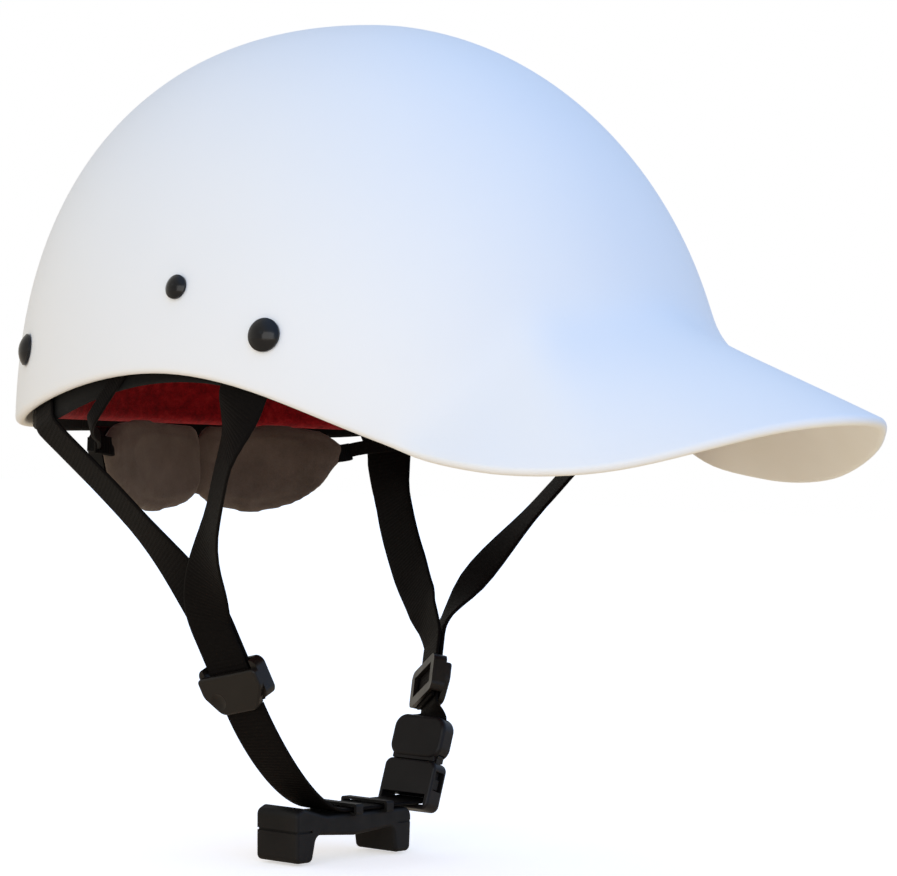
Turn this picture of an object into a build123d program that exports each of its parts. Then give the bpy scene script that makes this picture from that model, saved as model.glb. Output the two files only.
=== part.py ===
from build123d import *
import math
import os

# Water-sports helmet shaped like a peaked cap, with a four-point webbing harness.
# Frame: origin at the centre of the head opening at rim level, X forward, Y to the
# wearer's left, Z up.  Millimetres.

os.makedirs("parts", exist_ok=True)

# ---------------------------------------------------------------- shell dimensions
FRONT_REACH = 133.0      # dome half length ahead of the centre
REAR_REACH = 140.0       # dome half length behind the centre
HALF_WIDTH = 116.0       # dome half width
PLAN_POWER = 2.16        # 2 is an ellipse in plan, more is squarer
WIDEST_Z = 2.0           # level of the widest line
CROWN_Z = 152.0          # outside of the crown
SIDE_POWER = 2.12        # roundness of the upright section
SIDE_POWER_FORE = -0.23  # how much that power changes from the side to the front
SHELL_T = 4.0            # wall of the shell
ROOT_BLEND = 3.5         # softness of the hollow where the bill leaves the dome

# Height of the shell's lower edge against the plan angle from straight ahead.
EDGE_Z = ((0, 13.0), (12, 7.0), (24, -6.0), (36, -9.0), (50, -1.5), (70, 13.0),
          (90, 19.5), (110, 15.5), (145, 1.0), (180, 0.0))
# How far the bill stands out from the dome, and its run per unit of drop.
BILL_OUT = ((0, 78.5), (12, 65.0), (24, 43.5), (36, 21.0), (50, 0.0), (180, 0.0))
BILL_RUN = ((0, 2.5), (30, 0.75), (60, 1.0), (90, 1.0), (180, 1.0))

# ---------------------------------------------------------------- liner dimensions
FOAM_OUT = 8.6           # outside of the foam, measured inward from the shell's outside
FOAM_IN = 16.5           # inside of the foam
FOAM_TOP_Z = 92.0        # top of the side, front and rear pads
CROWN_PAD_Z = 98.0       # lower edge of the crown pad
BAND_OUT = 6.6
BAND_IN = 8.2
BAND_RISE = 11.0         # band above the shell's edge
# How far the edge band hangs below the shell's edge, against the plan angle.
BAND_DROP = ((52, 0.5), (75, 1.0), (97, 3.3), (125, 6.0), (150, 1.5), (180, 1.0))
SWEAT_OUT = 16.9
SWEAT_IN = 19.4
DISC_R = 9.0
DISC_OUT = 4.9
DISC_IN = 8.2

# ---------------------------------------------------------------- rivets
# (plan angle, height) on one side of the shell
FRONT_RIVET = (69.5, 33.0)
REAR_RIVET = (134.0, 27.5)
PAD_RIVET = (89.0, 49.0)
BIG_HEAD_R = 5.8
SMALL_HEAD_R = 4.3
SHANK_R = 2.4
HOLE_CLEAR = 0.06

# ---------------------------------------------------------------- webbing
WEB_W = 19.0
WEB_T = 1.4
PAD_WEB_W = 5.5
PAD_WEB_T = 1.2
WEB_LAY = 5.4            # middle of the webbing, inward from the shell's outside

# ---------------------------------------------------------------- strap guides
# Both are given in the left half; the right one is then mirrored.
GUIDE_X = -13.0
GUIDE_Y = 56.3
LEFT_GUIDE_Z = -94.0
RIGHT_GUIDE_Z = -89.7
LEFT_GUIDE_TWIST = -36.0  # the left webbing hangs turned forward about the vertical
GUIDE_DOWN = Vector(0.21, -0.385, -0.9).normalized()
GUIDE_ACROSS_HINT = Vector(0.975, 0.01, 0.22)
GUIDE_W = 28.0
LAYER = 0.85             # each web layer's distance from the middle of the guide
CHANNEL = 1.85           # half the depth of the guide's passage
RAIL_T = 1.5             # wall behind the passage
SWING_ALONG = 8.5        # where the chin strap takes over from the right front strap
# Width directions that each hanging webbing turns through between the rim and its guide,
# with the share of the free length at which it has each.
LEFT_REAR_TURNS = ((0.2, Vector(0.99, -0.13, 0.1)), (0.45, Vector(0.975, -0.21, 0.1)),
                   (0.64, Vector(0.935, -0.35, 0.08)), (0.8, Vector(0.85, -0.52, 0.08)))
LEFT_FRONT_TURNS = ((0.25, Vector(0.78, -0.62, -0.03)), (0.42, Vector(0.80, -0.60, -0.03)),
                    (0.68, Vector(0.95, -0.30, -0.10)))
RIGHT_REAR_TURNS = ((0.22, Vector(0.80, 0.50, 0.33)), (0.5, Vector(0.80, 0.50, 0.33)))
RIGHT_FRONT_TURNS = ((0.32, Vector(0.80, 0.60, 0.0)), (0.5, Vector(0.80, 0.60, 0.0)))
TURN_END = 0.9           # share at which the webbing lies flat to the guide
FALL_WAY = Vector(0.15, -0.25, -0.95).normalized()  # way that slack webbing falls from the rim

# ---------------------------------------------------------------- buckle
BUCKLE_MID = Vector(-10.0, 45.0, -128.0)
BUCKLE_W = 24.4
BUCKLE_T = 8.4
TONGUE_BODY = 17.5       # part of the tongue that stays outside the socket
SOCKET_L = 18.8
INSERT_L = 11.1          # depth of the tongue inside the socket
MID_DEPTH = 5.0          # depth at which BUCKLE_MID lies in the socket

# ---------------------------------------------------------------- nape pad
NAPE_HALF = 67.0
NAPE_X = -87.0           # middle of the pad
NAPE_BOW = 18.0          # how far forward its ends come
NAPE_T = 8.0
NAPE_TOP = ((0, 2.0), (40, 3.5), (58, 1.5), (67, -3.0))
NAPE_LOW = ((0, -26.0), (12, -28.5), (28, -30.5), (45, -27.5), (58, -20.0), (67, -9.0))

# ---------------------------------------------------------------- chin cup
CUP_X = -11.0
CUP_DEPTH = 20.0
CUP_FOOT = 9.0           # thickness of each foot along the strap
CUP_HALF = 33.0
CUP_LOW_Z = -155.5
STRAP_Z = -137.5         # middle of the chin strap where it runs level


# ================================================================ curves
def slopes(table):
    """Slopes of a curve through the stations that never overshoots them."""
    n = len(table)
    h = [table[i + 1][0] - table[i][0] for i in range(n - 1)]
    d = [(table[i + 1][1] - table[i][1]) / h[i] for i in range(n - 1)]
    m = [0.0] * n
    for i in range(1, n - 1):
        if d[i - 1] * d[i] > 0:
            w1 = 2 * h[i] + h[i - 1]
            w2 = h[i] + 2 * h[i - 1]
            m[i] = (w1 + w2) / (w1 / d[i - 1] + w2 / d[i])
    return m


def hermite(table, m, x):
    """Value at x of the piecewise cubic with the given stations and slopes."""
    x = min(max(x, table[0][0]), table[-1][0])
    i = 0
    while i < len(table) - 2 and x > table[i + 1][0]:
        i += 1
    h = table[i + 1][0] - table[i][0]
    t = (x - table[i][0]) / h
    a = (1 + 2 * t) * (1 - t) ** 2 * table[i][1] + t * (1 - t) ** 2 * h * m[i]
    b = t * t * (3 - 2 * t) * table[i + 1][1] + t * t * (t - 1) * h * m[i + 1]
    return a + b


def even_slopes(table):
    """Slopes of the smooth cubic spline that is level at both ends."""
    n = len(table)
    lo = [0.0] * n
    di = [1.0] * n
    up = [0.0] * n
    rh = [0.0] * n
    for i in range(1, n - 1):
        h0 = table[i][0] - table[i - 1][0]
        h1 = table[i + 1][0] - table[i][0]
        d0 = (table[i][1] - table[i - 1][1]) / h0
        d1 = (table[i + 1][1] - table[i][1]) / h1
        lo[i] = 1 / h0
        up[i] = 1 / h1
        di[i] = 2 * (1 / h0 + 1 / h1)
        rh[i] = 3 * (d0 / h0 + d1 / h1)
    for i in range(1, n):
        k = lo[i] / di[i - 1]
        di[i] -= k * up[i - 1]
        rh[i] -= k * rh[i - 1]
    m = [0.0] * n
    m[n - 1] = rh[n - 1] / di[n - 1]
    for i in range(n - 2, -1, -1):
        m[i] = (rh[i] - up[i] * m[i + 1]) / di[i]
    return m


EDGE_M = even_slopes(EDGE_Z)
BILL_M = slopes(BILL_OUT)
RUN_M = slopes(BILL_RUN)
DROP_M = slopes(BAND_DROP)
TOP_M = slopes(NAPE_TOP)
LOW_M = slopes(NAPE_LOW)


# ================================================================ shell surface
def edge_z(deg):
    return hermite(EDGE_Z, EDGE_M, abs(deg))


def power(deg):
    return SIDE_POWER + SIDE_POWER_FORE * math.cos(math.radians(deg))


def plan_radius(deg):
    c = math.cos(math.radians(deg))
    s = math.sin(math.radians(deg))
    a = (FRONT_REACH + REAR_REACH) / 2 + (FRONT_REACH - REAR_REACH) / 2 * c
    sum_p = (abs(c) / a) ** PLAN_POWER + (abs(s) / HALF_WIDTH) ** PLAN_POWER
    return sum_p ** (-1 / PLAN_POWER)


def soft(x):
    return ROOT_BLEND * math.log1p(math.exp(min(x / ROOT_BLEND, 60.0)))


def flare(deg, z):
    """Outward reach of the bill at a height."""
    out = hermite(BILL_OUT, BILL_M, abs(deg))
    if out < 1e-6:
        return 0.0
    low = edge_z(deg)
    root = low + out / hermite(BILL_RUN, RUN_M, abs(deg))
    return out * soft(root - z) / soft(root - low)


def level(deg, s):
    """Height at a station s down the section: 0 crown, 1 widest line, more below it."""
    q = power(deg)
    if s >= 1:
        t = 1 - s
    else:
        t = (1 - s) / ((1 - s) ** q + s ** q) ** (1 / q)
    return WIDEST_Z + (CROWN_Z - WIDEST_Z) * t


def station(deg, z):
    """Inverse of level()."""
    q = power(deg)
    t = (z - WIDEST_Z) / (CROWN_Z - WIDEST_Z)
    if t <= 0:
        return 1 - t
    k = (t ** (-q) - 1) ** (1 / q)
    return k / (1 + k)


def outside(deg, s, bill=True):
    """Point of the shell's outside; without the bill when bill is False."""
    q = power(deg)
    z = level(deg, s)
    if s >= 1:
        r = plan_radius(deg)
    else:
        r = plan_radius(deg) * s / ((1 - s) ** q + s ** q) ** (1 / q)
    if bill:
        r += flare(deg, z)
    a = math.radians(deg)
    return Vector(r * math.cos(a), r * math.sin(a), z)


def normal(deg, s, bill=True):
    """Outward unit normal of that surface."""
    if s < 1e-4:
        return Vector(0, 0, 1)
    e = 1e-3
    da = outside(deg + 0.05, s, bill) - outside(deg - 0.05, s, bill)
    ds = outside(deg, s + e, bill) - outside(deg, s - e, bill)
    n = ds.cross(da).normalized()
    if n.dot(outside(deg, s, False) - Vector(0, 0, -60)) < 0:
        n = n * -1
    if deg in (0, 180):
        n = Vector(n.X, 0, n.Z).normalized()
    return n


def skin(deg, s, depth, bill=True):
    """Point at a depth inward from the outside."""
    p = outside(deg, s, bill)
    if depth == 0:
        return p
    return p - normal(deg, s, bill) * depth


# ================================================================ solids from grids
def grid_face(rows, tol=0.02):
    return Face.make_surface_from_array_of_points(rows, tol=tol)


def side_between(face, p, q):
    """The edge of a face that runs between two of its corners."""
    best = None
    for e in face.edges():
        a = e.position_at(0)
        b = e.position_at(1)
        gap = min((a - p).length + (b - q).length, (a - q).length + (b - p).length)
        if best is None or gap < best[0]:
            best = (gap, e)
    return best[1]


def slab(top, low):
    """Closed solid between two grids of points of the same size."""
    f1 = grid_face(top)
    f2 = grid_face(low)
    faces = [f1, f2]
    corners = ((0, 0), (0, -1), (-1, -1), (-1, 0))
    for k in range(4):
        i, j = corners[k]
        m, n = corners[(k + 1) % 4]
        e1 = side_between(f1, top[i][j], top[m][n])
        e2 = side_between(f2, low[i][j], low[m][n])
        faces.append(Face.make_surface_from_curves(e1, e2))
    return closed(faces)


def closed(faces):
    body = Solid(Shell(faces))
    if body.volume < 0:
        body = Solid(Shell([-f for f in faces]))
    return body


def bowl(outer, inner):
    """Closed solid from two half grids whose first column is the crown point."""
    f1 = grid_face(outer, 0.1)
    f2 = grid_face(inner, 0.1)
    e1 = side_between(f1, outer[0][-1], outer[-1][-1])
    e2 = side_between(f2, inner[0][-1], inner[-1][-1])
    faces = [f1, f2, Face.make_surface_from_curves(e1, e2)]
    faces += [f.mirror(Plane.XZ) for f in faces]
    return closed(faces)


def half_grid(depth, low_z, bill, angles, count):
    """Points of one half, evenly spaced from the crown down each section."""
    grid = []
    fine = 160
    for deg in angles:
        s_low = station(deg, low_z(deg))
        line = [skin(deg, s_low * k / fine, depth, bill) for k in range(fine + 1)]
        reach = [0.0]
        for k in range(fine):
            reach.append(reach[-1] + (line[k + 1] - line[k]).length)
        column = []
        k = 0
        for j in range(count + 1):
            want = reach[-1] * j / count
            while k < fine - 1 and reach[k + 1] < want:
                k += 1
            part = (want - reach[k]) / (reach[k + 1] - reach[k])
            column.append(skin(deg, s_low * (k + part) / fine, depth, bill))
        grid.append(column)
    return grid


def mirror_y(shape):
    return shape.mirror(Plane.XZ)


def save(shape, name):
    shape.label = name
    export_step(shape, "parts/" + name + ".step")


# ================================================================ shell
angles = [3.0 * i for i in range(20)] + [60 + 6.0 * i for i in range(21)]
shell = bowl(half_grid(0, edge_z, True, angles, 30),
             half_grid(SHELL_T, edge_z, True, angles, 30))


def surface_place(deg, z):
    """Frame on the outside of the shell, its Z axis along the outward normal."""
    s = station(deg, z)
    n = normal(deg, s)
    return Plane(origin=outside(deg, s), x_dir=Vector(0, 0, 1).cross(n), z_dir=n)


BIG = [surface_place(*FRONT_RIVET), surface_place(*REAR_RIVET)]
SMALL = [surface_place(*PAD_RIVET)]


def shank_hole(place):
    hole = Cylinder(SHANK_R + HOLE_CLEAR, 40)
    return place.location * hole


for pl in BIG + SMALL:
    hole = shank_hole(pl)
    shell = shell - hole
    shell = shell - mirror_y(hole)
save(shell, "shell")


# ================================================================ rivets and washers
def rivet(head_r, dome, tail_at):
    """Domed rivet: its head lies on the outside, its tail flange inside."""
    head = Cylinder(head_r, 0.8, align=(Align.CENTER, Align.CENTER, Align.MIN))
    ball_r = (head_r ** 2 + dome ** 2) / (2 * dome)
    cap = Pos(0, 0, 0.8 + dome - ball_r) * Sphere(ball_r)
    keep = Pos(0, 0, 0.8) * Cylinder(head_r, dome, align=(Align.CENTER, Align.CENTER, Align.MIN))
    cap = cap & keep
    shank = Pos(0, 0, -tail_at) * Cylinder(SHANK_R, tail_at, align=(Align.CENTER, Align.CENTER, Align.MIN))
    tail = Pos(0, 0, -tail_at) * Cylinder(SHANK_R + 1.1, 0.7, align=(Align.CENTER, Align.CENTER, Align.MIN))
    return Pos(0, 0, 0.25) * (head + cap + shank + tail)


def washer(outer_r, at):
    ring = Cylinder(outer_r, 0.8) - Cylinder(SHANK_R + HOLE_CLEAR, 2)
    return Pos(0, 0, -at) * ring


def on_both_sides(places, make):
    found = []
    for pl in places:
        one = pl.location * make()
        found += [one, mirror_y(one)]
    return Compound(children=[s for f in found for s in f.solids()])


save(on_both_sides(BIG, lambda: rivet(BIG_HEAD_R, 2.2, 8.3)), "strap_rivets")
save(on_both_sides(BIG, lambda: washer(5.6, 6.9)), "strap_rivet_washers")
save(on_both_sides(SMALL, lambda: rivet(SMALL_HEAD_R, 1.6, 8.1)), "pad_rivets")
save(on_both_sides(SMALL, lambda: washer(4.6, 6.75)), "pad_rivet_washers")


# ================================================================ liner
def pad(a0, a1, low, high, out, into, na=17, ns=11):
    """Curved pad between two plan angles and two heights, following the dome."""
    grids = []
    for depth in (out, into):
        grid = []
        for i in range(na):
            deg = a0 + (a1 - a0) * i / (na - 1)
            s0 = station(deg, high)
            s1 = station(deg, low(deg))
            grid.append([skin(deg, s0 + (s1 - s0) * j / (ns - 1), depth, False) for j in range(ns)])
        grids.append(grid)
    return slab(grids[0], grids[1])


def side_low(deg):
    return edge_z(deg) + 6.0


def rear_low(deg):
    return 3.0


def fold(deg):
    """Plan angle measured from straight ahead, for angles past 180."""
    return deg if deg <= 180 else 360 - deg


save(pad(-46, 46, lambda d: 34.0, FOAM_TOP_Z, FOAM_OUT, FOAM_IN), "front_pad")
left_side = pad(50, 128, side_low, FOAM_TOP_Z, FOAM_OUT, FOAM_IN)
save(left_side, "left_side_pad")
save(mirror_y(left_side), "right_side_pad")


def ring_pad(a0, a1, low, high, out, into, na=25, ns=11):
    """Pad that crosses the back of the shell."""
    grids = []
    for depth in (out, into):
        grid = []
        for i in range(na):
            deg = a0 + (a1 - a0) * i / (na - 1)
            flip = 1 if deg <= 180 else -1
            d = fold(deg)
            s0 = station(d, high(d))
            s1 = station(d, low(d))
            line = [skin(d, s0 + (s1 - s0) * j / (ns - 1), depth, False) for j in range(ns)]
            grid.append([Vector(p.X, flip * p.Y, p.Z) for p in line])
        grids.append(grid)
    return slab(grids[0], grids[1])


save(ring_pad(132, 228, rear_low, lambda d: FOAM_TOP_Z, FOAM_OUT, FOAM_IN), "rear_pad")


def band_low(deg):
    return edge_z(deg) - hermite(BAND_DROP, DROP_M, deg)


def band_high(deg):
    return edge_z(deg) + BAND_RISE


save(ring_pad(52, 308, band_low, band_high, BAND_OUT, BAND_IN, na=61, ns=5), "rim_band")

crown_angles = [9.0 * i for i in range(21)]
crown = bowl(half_grid(FOAM_OUT, lambda d: CROWN_PAD_Z, False, crown_angles, 14),
             half_grid(FOAM_IN, lambda d: CROWN_PAD_Z, False, crown_angles, 14))
save(crown, "crown_pad")

save(pad(-44, 44, lambda d: 36.0, 58.0, SWEAT_OUT, SWEAT_IN, ns=5), "sweatband")

discs = []
for deg, z in ((20, 72.0), (80, 76.0), (112, 70.0), (150, 66.0), (60, 118.0), (140, 118.0)):
    pl = surface_place(deg, z)
    disc = Cylinder(DISC_R, DISC_IN - DISC_OUT)
    disc = pl.location * (Pos(0, 0, -(DISC_IN + DISC_OUT) / 2) * disc)
    discs += [disc, mirror_y(disc)]
save(Compound(children=[s for d in discs for s in d.solids()]), "hook_discs")


# ================================================================ webbing
def bezier(p0, p1, p2, p3, n):
    pts = []
    for i in range(n):
        t = i / (n - 1)
        u = 1 - t
        pts.append(p0 * u ** 3 + p1 * (3 * u * u * t) + p2 * (3 * u * t * t) + p3 * t ** 3)
    return pts


def ribbon(points, across, width, thick):
    """Webbing along a line of points; across holds its width direction at each."""
    top = []
    low = []
    n = len(points)
    for i in range(n):
        t = (points[min(i + 1, n - 1)] - points[max(i - 1, 0)]).normalized()
        w = across[i] - t * across[i].dot(t)
        w = w.normalized()
        m = t.cross(w)
        line = [points[i] + w * (width * c) for c in (-0.5, -0.17, 0.17, 0.5)]
        top.append([p + m * (thick / 2) for p in line])
        low.append([p - m * (thick / 2) for p in line])
    return slab(top, low)


def blend(a, b, t):
    t = t * t * (3 - 2 * t)
    return (a * (1 - t) + b * t).normalized()


class GuideFrame:
    """Place of one guide: origin, down along the webbing, across it and outward."""

    def __init__(self, z, twist):
        c = math.cos(math.radians(twist))
        n = math.sin(math.radians(twist))
        h = GUIDE_ACROSS_HINT
        hint = Vector(h.X * c - h.Y * n, h.X * n + h.Y * c, h.Z)
        self.at = Vector(GUIDE_X, GUIDE_Y, z)
        self.down = GUIDE_DOWN
        self.across = (hint - self.down * hint.dot(self.down)).normalized()
        self.out = self.across.cross(self.down).normalized()
        if self.out.Y < 0:
            self.out = self.out * -1

    def place(self, along, out=0.0):
        return self.at + self.down * along + self.out * out


LEFT = GuideFrame(LEFT_GUIDE_Z, LEFT_GUIDE_TWIST)
RIGHT = GuideFrame(RIGHT_GUIDE_Z, 0.0)


def harness_strap(guide, start, leave, layer, end_along, pull, before, turns, lean=0.0, fall=0.0):
    """Webbing from just past a rivet, along the inside of the shell, down and through the guide."""
    points = []
    across = []
    n = 15
    for i in range(n):
        t = (1 + before) * i / (n - 1) - before
        deg = start[0] + (leave[0] - start[0]) * t
        z = start[1] + (leave[1] - start[1]) * (0.45 * t + 0.55 * t * abs(t))
        s = station(deg, z)
        points.append(skin(deg, s, WEB_LAY, False))
        across.append(normal(deg, s, False))
    way = (points[-1] - points[-2]).normalized()
    for i in range(n):
        t = (points[min(i + 1, n - 1)] - points[max(i - 1, 0)]).normalized()
        w = across[i].cross(t).normalized()
        if w.X < 0:
            w = w * -1
        across[i] = w
    flat = pull[2]
    top = guide.place(-flat, layer)
    first = points[-1] + way * pull[0] + FALL_WAY * fall
    free = bezier(points[-1], first, top - guide.down * pull[1], top, 22)
    keys = ((0.0, across[-1]),) + turns + ((TURN_END, guide.across), (1.01, guide.across))
    for i in range(1, 22):
        t = i / 21
        points.append(free[i] + guide.out * (lean * 16 * (t * (1 - t)) ** 2))
        k = max(j for j in range(len(keys)) if keys[j][0] <= t)
        share = (t - keys[k][0]) / (keys[k + 1][0] - keys[k][0])
        across.append(blend(keys[k][1], keys[k + 1][1], share))
    steps = 8
    for i in range(1, steps + 1):
        points.append(guide.place(-flat + (end_along + flat) * i / steps, layer))
        across.append(guide.across)
    return ribbon(points, across, WEB_W, WEB_T)


# Leaving points are (plan angle, height); pulls are the lengths over which a webbing keeps
# its direction at the rim and above the guide, then its flat length above the guide.
rear_hole = shank_hole(BIG[1])
front_hole = shank_hole(BIG[0])
strap = harness_strap(LEFT, REAR_RIVET, (125.5, -3.5), -LAYER, 8.0, (9.0, 10.0, 17.0), 0.2,
                      LEFT_REAR_TURNS, 0.0, 34.0)
save(strap - rear_hole, "left_rear_strap")
strap = harness_strap(LEFT, FRONT_RIVET, (74.5, 12.0), LAYER, 0.0, (14.0, 20.0, 18.0), 0.6,
                      LEFT_FRONT_TURNS)
save(strap - front_hole, "left_front_strap")
strap = harness_strap(RIGHT, REAR_RIVET, (128.5, 1.5), -LAYER, 8.0, (6.0, 16.0, 22.0), 0.2,
                      RIGHT_REAR_TURNS, -3.1)
save(mirror_y(strap - rear_hole), "right_rear_strap")
strap = harness_strap(RIGHT, FRONT_RIVET, (74.5, 12.0), LAYER, SWING_ALONG - 0.15, (10.0, 16.0, 22.0), 0.6,
                      RIGHT_FRONT_TURNS, 1.4)
save(mirror_y(strap - front_hole), "right_front_strap")


# Buckle axis: square to the line from the right guide's lower end to the buckle, so
# that the swinging chin strap draws the socket straight off the tongue.
swing = RIGHT.place(SWING_ALONG, LAYER)
SWING_AT = Vector(swing.X, -swing.Y, swing.Z)
arm = BUCKLE_MID - SWING_AT
BUCKLE_DOWN = Vector(0, arm.Z, -arm.Y).normalized()
BUCKLE_ACROSS = Vector(1, 0, 0)
BUCKLE_OUT = BUCKLE_DOWN.cross(BUCKLE_ACROSS).normalized()
if BUCKLE_OUT.Y < 0:
    BUCKLE_OUT = BUCKLE_OUT * -1
PARTING = BUCKLE_MID - BUCKLE_DOWN * MID_DEPTH
# Local frame of the buckle: X across, Y outward, Z up along the strap, origin at the parting.
BUCKLE = Plane(origin=PARTING, x_dir=BUCKLE_ACROSS, z_dir=BUCKLE_DOWN * -1)
if BUCKLE.y_dir.dot(BUCKLE_OUT) < 0:
    BUCKLE = Plane(origin=PARTING, x_dir=BUCKLE_ACROSS * -1, z_dir=BUCKLE_DOWN * -1)

# Short strap from the left guide into the tongue.
points = [LEFT.place(0.4 + 9.2 * i / 6, LAYER) for i in range(7)]
pocket_top = PARTING - BUCKLE_DOWN * TONGUE_BODY
into = bezier(points[-1], points[-1] + GUIDE_DOWN * 2.2, pocket_top - BUCKLE_DOWN * 1.0,
              pocket_top + BUCKLE_DOWN * 1.0, 8)
points += into[1:]
points += [pocket_top + BUCKLE_DOWN * (1.0 + 1.5 * i) for i in range(1, 6)]
across = [blend(LEFT.across, Vector(1, 0, 0), min(1.0, max(0.0, (i - 6) / 6))) for i in range(len(points))]
save(ribbon(points, across, WEB_W, WEB_T), "left_buckle_strap")

# Chin strap: from the right guide, round under the chin, through the socket's slot.
gd = Vector(GUIDE_DOWN.X, -GUIDE_DOWN.Y, GUIDE_DOWN.Z)
ga = Vector(RIGHT.across.X, -RIGHT.across.Y, RIGHT.across.Z)
begin = SWING_AT + gd * 0.15
flat_from = Vector(CUP_X + 1.0, -6.0, STRAP_Z)
points = bezier(begin, begin + gd * 18.0, flat_from - Vector(0, 16.0, 0), flat_from, 22)
across = [blend(ga, Vector(1, 0, 0), i / 21) for i in range(22)]
points += [Vector(CUP_X + 1.0, -6.0 + 55.0 * i / 11, STRAP_Z) for i in range(1, 12)]
across += [Vector(1, 0, 0)] * 11
save(ribbon(points, across, WEB_W, WEB_T), "chin_strap")

# Narrow straps that carry the nape pad.
points = []
across = []
for i in range(12):
    t = 1.16 * i / 11 - 0.16
    deg = PAD_RIVET[0] + (110.0 - PAD_RIVET[0]) * t
    z = PAD_RIVET[1] + (4.0 - PAD_RIVET[1]) * t
    s = station(deg, z)
    points.append(skin(deg, s, WEB_LAY - 0.1, False))
    across.append(normal(deg, s, False))
n = len(points)
for i in range(n):
    t = (points[min(i + 1, n - 1)] - points[max(i - 1, 0)]).normalized()
    w = across[i].cross(t).normalized()
    across[i] = w if w.X > 0 else w * -1
way = (points[-1] - points[-2]).normalized()
NAPE_END = Vector(NAPE_X + NAPE_BOW - 3.0, NAPE_HALF + 4.2, -6.0)
end_way = Vector(-0.80, -0.45, -0.40).normalized()
free = bezier(points[-1], points[-1] + way * 9.0, NAPE_END - end_way * 12.0, NAPE_END, 14)
w0 = across[-1]
w1 = Vector(0.25, 0.12, -0.95)
for i in range(1, 14):
    points.append(free[i])
    across.append(blend(w0, w1 * -1 if w0.dot(w1) < 0 else w1, min(1.0, i / 6)))
pad_strap = ribbon(points, across, PAD_WEB_W, PAD_WEB_T) - shank_hole(SMALL[0])
save(pad_strap, "left_pad_strap")
save(mirror_y(pad_strap), "right_pad_strap")


# ================================================================ nape pad
def nape(depth0, depth1, inset, tuck=0.0):
    """Two-lobed pad, bowed round the back of the neck; tuck draws in its long edges."""
    grids = []
    for depth in (depth0, depth1):
        grid = []
        for i in range(41):
            y = (NAPE_HALF - inset) * (i - 20) / 20
            x = NAPE_X + NAPE_BOW * (y / NAPE_HALF) ** 2
            lean = 2 * NAPE_BOW * y / NAPE_HALF ** 2
            back = Vector(-1, lean, 0).normalized()
            more = tuck * max(0.0, min(1.0, (60.0 - abs(y)) / 18.0))
            high = hermite(NAPE_TOP, TOP_M, abs(y)) - inset - more
            low = hermite(NAPE_LOW, LOW_M, abs(y)) + inset + more
            line = []
            for j in range(9):
                z = high + (low - high) * j / 8
                line.append(Vector(x, y, z) + back * depth)
            grid.append(line)
        grids.append(grid)
    return slab(grids[0], grids[1])


save(nape(-NAPE_T / 2, NAPE_T / 2, 0.0), "nape_pad")
save(nape(NAPE_T / 2 + 0.15, NAPE_T / 2 + 5.2, 0.6, 3.0), "nape_backing")


# ================================================================ strap guides
def guide_body(frame):
    """Slotted guide: a face plate with a rounded foot, two cheeks and two rails behind."""
    half = GUIDE_W / 2
    outline = make_face(Polyline((-half, 5.0), (half, 5.0), (half, -2.0), (8.5, -10.0),
                                 (-8.5, -10.0), (-half, -2.0), close=True))
    outline = fillet(outline.vertices().filter_by_position(Axis.Y, -11.0, -1.0), 4.6)
    outline = fillet(outline.vertices().filter_by_position(Axis.Y, 4.0, 6.0), 1.6)
    plate = extrude(outline, amount=2.4)
    plate = fillet(plate.faces().sort_by(Axis.Z)[-1].edges(), 0.9)
    plate = plate - Pos(7.6, -4.4, 2.4 + 6.2) * Sphere(7.0)
    plate = Pos(0, 0, CHANNEL) * plate
    ring = make_face(Polyline((-half, 8.0), (half, 8.0), (half, -7.0), (-half, -7.0), close=True))
    ring = fillet(ring.vertices(), 3.2)
    ring = Pos(0, 0, -CHANNEL - RAIL_T) * extrude(ring, amount=2 * CHANNEL + RAIL_T + 0.1)
    ring = ring - Box(GUIDE_W - 5.2, 40, 2 * CHANNEL)
    ring = ring - Pos(0, 0, CHANNEL + 1.0) * Box(GUIDE_W - 5.2, 40, 2.0)
    ring = ring - Pos(0, 0.8, -CHANNEL - 1.1) * Box(GUIDE_W - 7.6, 8.0, 6.0)
    body = plate + ring
    # Turn so that X stays across, drawing Y goes up the strap and drawing Z outward.
    up = frame.down * -1
    place = Plane(origin=frame.at, x_dir=up.cross(frame.out), z_dir=frame.out)
    return place.location * body


save(guide_body(LEFT), "left_strap_guide")
save(mirror_y(guide_body(RIGHT)), "right_strap_guide")


# ================================================================ buckle
def bx(x0, x1, y0, y1, z0, z1):
    b = Box(x1 - x0, y1 - y0, z1 - z0)
    return Pos((x0 + x1) / 2, (y0 + y1) / 2, (z0 + z1) / 2) * b


HB = BUCKLE_W / 2
HT = BUCKLE_T / 2
# Tongue: body above the parting, with a pocket for the strap and a central bar below it.
tongue = bx(-HB, HB, -HT + 0.4, HT - 0.4, 1.0, TONGUE_BODY)
tongue = fillet(tongue.edges().filter_by(Axis.Y), 5.2)
tongue = fillet(tongue.faces().sort_by(Axis.Y)[-1].edges(), 1.6)
tongue = fillet(tongue.faces().sort_by(Axis.Y)[0].edges(), 1.6)
tongue = tongue + bx(-HB + 2.4, HB - 2.4, -HT + 1.0, HT - 1.0, 0.3, 3.0)
tongue = tongue + bx(-3.6, 3.6, -1.6, 1.6, -INSERT_L, 1.0)
tongue = tongue - bx(-WEB_W / 2 - 0.5, WEB_W / 2 + 0.5, -1.1, 1.1, 8.2, TONGUE_BODY + 1)
for side in (-1, 1):
    tongue = tongue - bx(side * 9.3 - 1.9, side * 9.3 + 1.9, -1.9, 1.9, -0.5, 4.2)
save(BUCKLE.location * tongue, "buckle_tongue")

# Prongs: sprung arms with a catch that stands in the socket's side window.
PRONG_X = 9.3


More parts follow.
